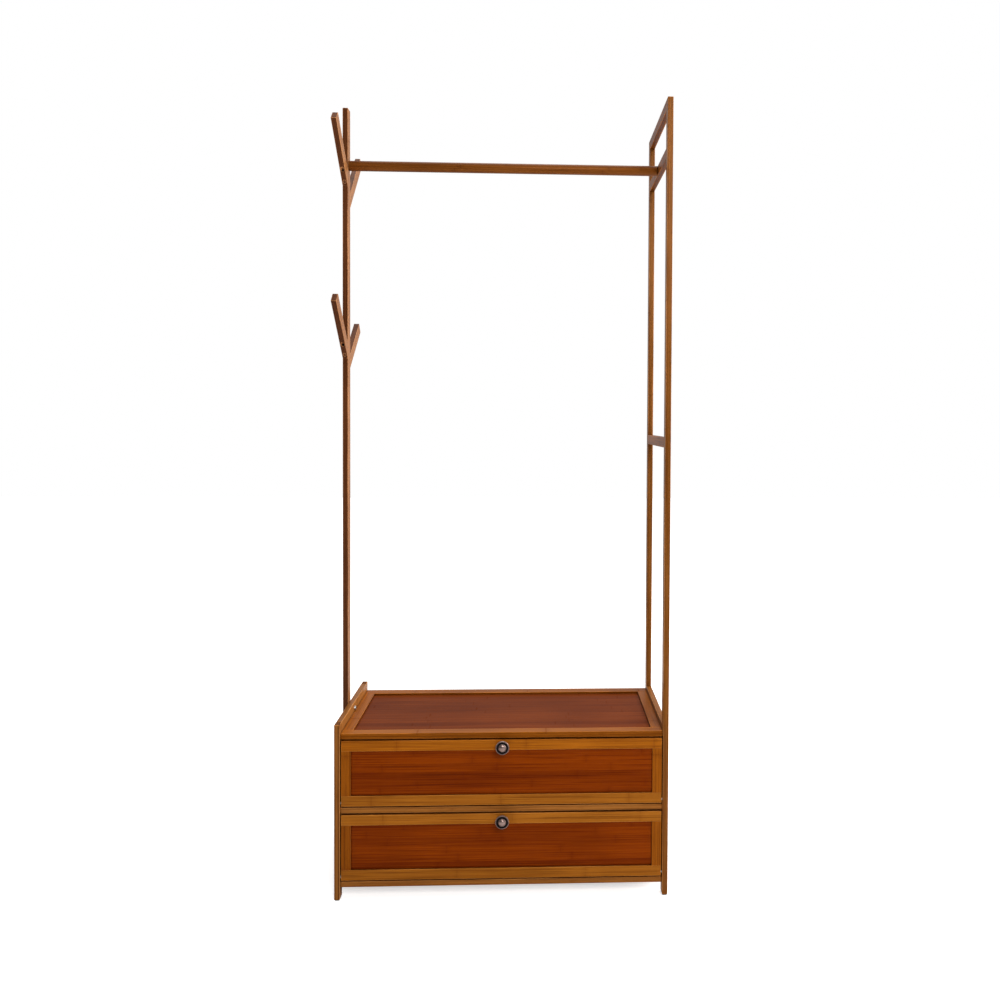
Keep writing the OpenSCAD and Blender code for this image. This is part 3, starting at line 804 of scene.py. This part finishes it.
for body in ("upper_door", "lower_door"):
    low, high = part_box(body + "_knob")
    middle = (low + high) / 2
    turned = bmesh.new()
    worn = turned.verts.layers.float.new("groove")
    rings = []
    for radius, out, dark in KNOB_PROFILE:
        ring_here = [
            turned.verts.new((middle.x + radius * across, high.y - out, middle.z + radius * up))
            for across, up in round_about(KNOB_SIDES)
        ]
        for vert in ring_here:
            vert[worn] = dark
        rings.append(ring_here)
    skin_rings(turned, rings)
    crown = turned.verts.new((middle.x, high.y - KNOB_CROWN, middle.z))
    for k in range(KNOB_SIDES):
        turned.faces.new((rings[-1][k], crown, rings[-1][k - 1]))
    blank = turned_mesh(body + "_knob_turned", turned)
    centre = (middle.x, high.y - BEAD_RING, middle.z)
    knob = grown(body + "_knob_turned", blank, beading, {"Centre": centre, "Metal": pewter})
    knob.data.materials.clear()
    fit_piece(knob, body + "_knob", body, pewter)


# ---- Bolts and screws ----
# Zinc-plated bolts with hexagon sockets hold the frames, the post and the
# rod, and small square-socket screws hold the back board. The sunk screws in
# the arms are blackened.

BOLT_HEAD = 0.003
BACK_SCREW_HEAD = 0.001
KNOB_SCREW_HEAD = 0.0024
METAL_ARRIS = 0.0002


def steel(name, tone, rough, scale):
    """Plated steel with fine brushing and a few dull patches."""
    material = bpy.data.materials.new(name)
    tree = cleared(material)
    where = own_place(tree)
    brush = speckled(tree, where, scale, 4.0)
    patch = ranged(tree, speckled(tree, where, 160.0, 2.0), 0.35, 0.7, 0.0, 1.0)
    colour = mixed(tree, patch, (*tone, 1), toned(tone, 0.6))
    dull = sum_of(tree, "MULTIPLY_ADD", brush, 0.2, rough)
    relief = raised(tree, 0.2, 0.00005, brush)
    skinned(
        tree, {"Base Color": colour, "Metallic": 1.0, "Roughness": dull, "Normal": relief}
    )
    return material


def solids_of(node):
    """The lowest and highest corners of each separate solid of a CAD node."""
    shape = bmesh.new()
    shape.from_mesh(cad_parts[node].data)
    bmesh.ops.remove_doubles(shape, verts=shape.verts, dist=2e-6)
    left = set(shape.verts)
    found = []
    while left:
        front = [left.pop()]
        group = list(front)
        while front:
            for edge in front.pop().link_edges:
                for vert in edge.verts:
                    if vert in left:
                        left.remove(vert)
                        front.append(vert)
                        group.append(vert)
        spots = [v.co.copy() for v in group]
        found.append(
            (
                Vector([min(p[i] for p in spots) for i in range(3)]),
                Vector([max(p[i] for p in spots) for i in range(3)]),
            )
        )
    shape.free()
    return sorted(found, key=lambda box: tuple(round(c, 4) for c in box[0]))


zinc = steel("zinc_plate", (0.56, 0.55, 0.54), 0.28, 1500.0)
black = steel("blackened_steel", (0.035, 0.03, 0.028), 0.4, 1200.0)

screwing = bpy.data.node_groups.new("headed screws", "GeometryNodeTree")
socketed(screwing, "Geometry", "NodeSocketGeometry")
socketed(screwing, "Head Radius", "NodeSocketFloat", 0.0045)
socketed(screwing, "Head Height", "NodeSocketFloat", 0.003)
socketed(screwing, "Shank Radius", "NodeSocketFloat", 0.0025)
socketed(screwing, "Shank Length", "NodeSocketFloat", 0.03)
socketed(screwing, "Recess Radius", "NodeSocketFloat", 0.0018)
socketed(screwing, "Recess Sides", "NodeSocketInt", 6)
socketed(screwing, "Metal", "NodeSocketMaterial")
screwing.interface.new_socket(name="Geometry", in_out="OUTPUT", socket_type="NodeSocketGeometry")
given = put(screwing, "NodeGroupInput").outputs
blank = put(
    screwing,
    "GeometryNodeMeshCylinder",
    {
        "Vertices": 40,
        "Side Segments": 2,
        "Radius": given["Head Radius"],
        "Depth": given["Head Height"],
    },
)
half = put(screwing, "ShaderNodeMath", {0: given["Head Height"], 1: 0.5}, operation="MULTIPLY")
lift = put(screwing, "ShaderNodeCombineXYZ", {2: half.outputs[0]})
spot = put(screwing, "GeometryNodeInputPosition")
level = put(screwing, "ShaderNodeSeparateXYZ", {0: spot.outputs[0]})
quarter = put(screwing, "ShaderNodeMath", {0: half.outputs[0], 1: 0.5}, operation="MULTIPLY")
at_top = put(
    screwing, "ShaderNodeMath", {0: level.outputs["Z"], 1: quarter.outputs[0]}, operation="GREATER_THAN"
)
drawn_in = put(
    screwing, "ShaderNodeVectorMath", {0: spot.outputs[0], 1: (0.76, 0.76, 1)}, operation="MULTIPLY"
)
domed = put(
    screwing,
    "GeometryNodeSetPosition",
    {"Geometry": blank.outputs[0], "Selection": at_top.outputs[0], "Position": drawn_in.outputs[0]},
)
domed = put(
    screwing, "GeometryNodeTransform", {"Geometry": domed.outputs[0], "Translation": lift.outputs[0]}
)
tool = put(
    screwing,
    "GeometryNodeMeshCylinder",
    {
        "Vertices": given["Recess Sides"],
        "Radius": given["Recess Radius"],
        "Depth": given["Head Height"],
    },
)
high_up = put(screwing, "ShaderNodeCombineXYZ", {2: given["Head Height"]})
tool = put(
    screwing, "GeometryNodeTransform", {"Geometry": tool.outputs[0], "Translation": high_up.outputs[0]}
)
head = put(screwing, "GeometryNodeMeshBoolean", {0: domed.outputs[0]}, operation="DIFFERENCE")
screwing.links.new(tool.outputs[0], head.inputs[1])
shank = put(
    screwing,
    "GeometryNodeMeshCylinder",
    {"Vertices": 24, "Radius": given["Shank Radius"], "Depth": given["Shank Length"]},
)
down = put(screwing, "ShaderNodeMath", {0: given["Shank Length"], 1: -0.5}, operation="MULTIPLY")
drop = put(screwing, "ShaderNodeCombineXYZ", {2: down.outputs[0]})
shank = put(
    screwing, "GeometryNodeTransform", {"Geometry": shank.outputs[0], "Translation": drop.outputs[0]}
)
one = put(screwing, "GeometryNodeJoinGeometry")
screwing.links.new(head.outputs[0], one.inputs[0])
screwing.links.new(shank.outputs[0], one.inputs[0])
way = put(screwing, "GeometryNodeInputNamedAttribute", {"Name": "facing"}, data_type="FLOAT_VECTOR")
turned_to = put(
    screwing, "FunctionNodeAlignRotationToVector", {"Vector": way.outputs[0]}, axis="Z"
)
spread = put(
    screwing,
    "GeometryNodeInstanceOnPoints",
    {"Points": given["Geometry"], "Instance": one.outputs[0], "Rotation": turned_to.outputs[0]},
)
real = put(screwing, "GeometryNodeRealizeInstances", {0: spread.outputs[0]})
plated = put(
    screwing, "GeometryNodeSetMaterial", {"Geometry": real.outputs[0], "Material": given["Metal"]}
)
put(screwing, "NodeGroupOutput", {0: plated.outputs[0]})


def headed(node, axis, outward, head_height, values, metal, body="cabinet"):
    """Replaces a CAD node's screws, all of one length, with headed ones in place."""
    seats = []
    facings = []
    for low, high in solids_of(node):
        middle = (low + high) / 2
        sign = outward(middle)
        seat = middle.copy()
        seat[axis] = (high[axis] if sign > 0 else low[axis]) - sign * head_height
        facing = [0.0, 0.0, 0.0]
        facing[axis] = sign
        seats.append(seat)
        facings.append(facing)
        length = high[axis] - low[axis] - head_height
    start = bpy.data.meshes.new(node + "_seats")
    start.from_pydata(seats, [], [])
    start.attributes.new("facing", "FLOAT_VECTOR", "POINT").data.foreach_set(
        "vector", [c for f in facings for c in f]
    )
    given = {"Head Height": head_height, "Shank Length": length, "Metal": metal, **values}
    piece = grown(node + "_headed", start, screwing, given)
    piece.data.materials.clear()
    fit_piece(piece, node, body, metal)


def plus_way(place):
    """A head on the plus side: to the right, or to the rear."""
    return 1.0


def away_from_middle(place):
    """A head on the outer side, left or right."""
    return math.copysign(1.0, place.x)


def away_from_post(place):
    """A head on the side of the post that its arm leaves from."""
    low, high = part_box("tree_post")
    return math.copysign(1.0, place.y - (low.y + high.y) / 2)


headed("frame_bolts", 0, away_from_middle, BOLT_HEAD, {}, zinc)
headed("rod_bolts", 0, away_from_middle, BOLT_HEAD, {}, zinc)
headed("post_bolts", 0, plus_way, BOLT_HEAD, {}, zinc)

square = {
    "Recess Sides": 4,
    "Recess Radius": 0.0013,
    "Head Radius": 0.0025,
    "Shank Radius": 0.0012,
}
headed("back_panel_screws", 1, plus_way, BACK_SCREW_HEAD, square, zinc)
sunk = {"Head Radius": 0.00375, "Shank Radius": 0.002}
headed("hook_screws", 1, away_from_post, BOLT_HEAD, sunk, black)
wide = {"Head Radius": 0.004, "Shank Radius": 0.002}
for body in ("upper_door", "lower_door"):
    headed(body + "_knob_screw", 1, plus_way, KNOB_SCREW_HEAD, wide, zinc, body)

for node in ("post_nuts", "barrel_nuts"):
    fit_piece(eased(node, METAL_ARRIS), node, "cabinet", zinc)
for body in ("upper_door", "lower_door"):
    node = body + "_hinge_pins"
    fit_piece(eased(node, METAL_ARRIS), node, body, zinc)


# ---- Dowels and plugs ----
# Beech dowels lie hidden in the glued joints. The plugs beside the sunk
# screws are cut flush with the arms and stained with them.


def end_grain(name, dark, light):
    """Turned beech with pores, and a pale ring where its end is eased."""
    material = bpy.data.materials.new(name)
    tree = cleared(material)
    where = own_place(tree)
    pores = speckled(tree, where, 2600.0, 2.0)
    rings = speckled(tree, where, 420.0, 2.0)
    tone = sum_of(tree, "MULTIPLY_ADD", pores, 0.5, sum_of(tree, "MULTIPLY_ADD", rings, 0.9, -0.2))
    colour = mixed(tree, tone, (*dark, 1), (*light, 1))
    arris = put(tree, "ShaderNodeAttribute", attribute_name="arris").outputs["Fac"]
    pale = toned(light, 1.8, 0.05)
    colour = mixed(tree, sum_of(tree, "MULTIPLY", arris, 0.8), colour, pale)
    relief = raised(tree, 0.3, 0.0001, pores)
    dull = sum_of(tree, "MULTIPLY_ADD", pores, 0.2, 0.42)
    skinned(tree, {"Base Color": colour, "Roughness": dull, "IOR": 1.3, "Normal": relief})
    return material


PLUG_ARRIS = 0.0004
DOWEL_ARRIS = 0.0005

stained_plug = end_grain("stained_plug", (0.055, 0.014, 0.002), (0.14, 0.045, 0.008))
fit_piece(eased("hook_dowels", PLUG_ARRIS), "hook_dowels", "cabinet", stained_plug)
raw_beech = end_grain("raw_beech", (0.34, 0.18, 0.075), (0.55, 0.34, 0.17))
fit_piece(eased("frame_dowels", DOWEL_ARRIS), "frame_dowels", "cabinet", raw_beech)


# ---- Catches and feet ----
# Two magnetic catches hold each door shut against thin steel plates. Dark
# moulded pads are pressed on under the legs and the post.


def moulded(name, tone):
    """Dark moulded plastic with a fine spark-eroded grain and dusty patches."""
    material = bpy.data.materials.new(name)
    tree = cleared(material)
    where = own_place(tree)
    fine = speckled(tree, where, 3500.0, 2.0)
    dust = speckled(tree, where, 90.0, 3.0)
    worn = toned(tone, 1.9, 0.02)
    colour = mixed(tree, ranged(tree, dust, 0.45, 0.75, 0.0, 0.6), (*tone, 1), worn)
    arris = put(tree, "ShaderNodeAttribute", attribute_name="arris").outputs["Fac"]
    colour = mixed(tree, sum_of(tree, "MULTIPLY", arris, 0.35), colour, worn)
    relief = raised(tree, 0.4, 0.00005, fine)
    dull = sum_of(tree, "MULTIPLY_ADD", dust, 0.25, 0.42)
    skinned(tree, {"Base Color": colour, "Roughness": dull, "Normal": relief})
    return material


PAD_ARRIS = 0.0005
CATCH_ARRIS = 0.0008
PLATE_ARRIS = 0.0003

dark_plastic = moulded("dark_plastic", (0.022, 0.014, 0.010))
for node, round_over in (("foot_pads", PAD_ARRIS), ("catch_magnets", CATCH_ARRIS)):
    fit_piece(eased(node, round_over), node, "cabinet", dark_plastic)
for body in ("upper_door", "lower_door"):
    node = body + "_strike_plates"
    fit_piece(eased(node, PLATE_ARRIS), node, body, zinc)
